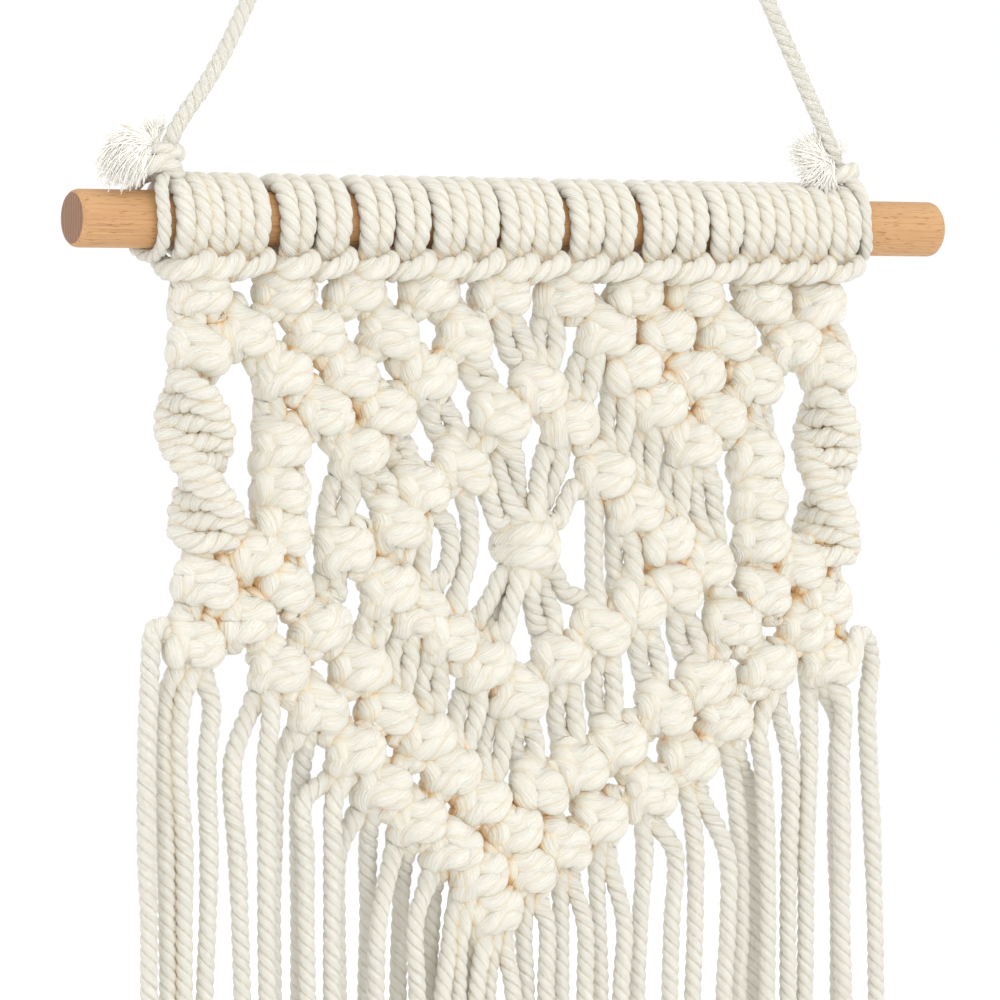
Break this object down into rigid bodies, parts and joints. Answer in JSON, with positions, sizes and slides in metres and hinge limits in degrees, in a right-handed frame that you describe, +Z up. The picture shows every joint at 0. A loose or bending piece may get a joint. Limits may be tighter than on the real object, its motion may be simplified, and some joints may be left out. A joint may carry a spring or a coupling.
{
  "type": "macrame wall hanging on a wooden dowel",
  "caption": "Macrame wall hanging: a net of knotted cotton cord with a V-shaped foot and a long fringe, on a wooden dowel that hangs from a cord.",
  "frame": {"origin": "the nail or hook under the top of the hanging cord, in the plane of the dowel's axis", "axes": "+X along the dowel to the right as seen from the room, -Y towards the room, +Z up; the wall is on the +Y side"},
  "size_m": [0.222, 0.0237, 0.492],
  "materials": {
    "beech": "bare sanded beech",
    "cotton": "undyed twisted cotton cord, matt"
  },
  "bodies": {
    "root": {"dowel": "beech", "heading": "cotton", "net": "cotton", "spiral_left": "cotton", "spiral_right": "cotton", "fringe": "cotton", "hanging_cord": "cotton", "hanger_loop_left": "cotton", "hanger_loop_right": "cotton", "tie_knot_left": "cotton", "tie_knot_right": "cotton", "frayed_end_left": "cotton", "frayed_end_right": "cotton"}
  },
  "joints": []
}
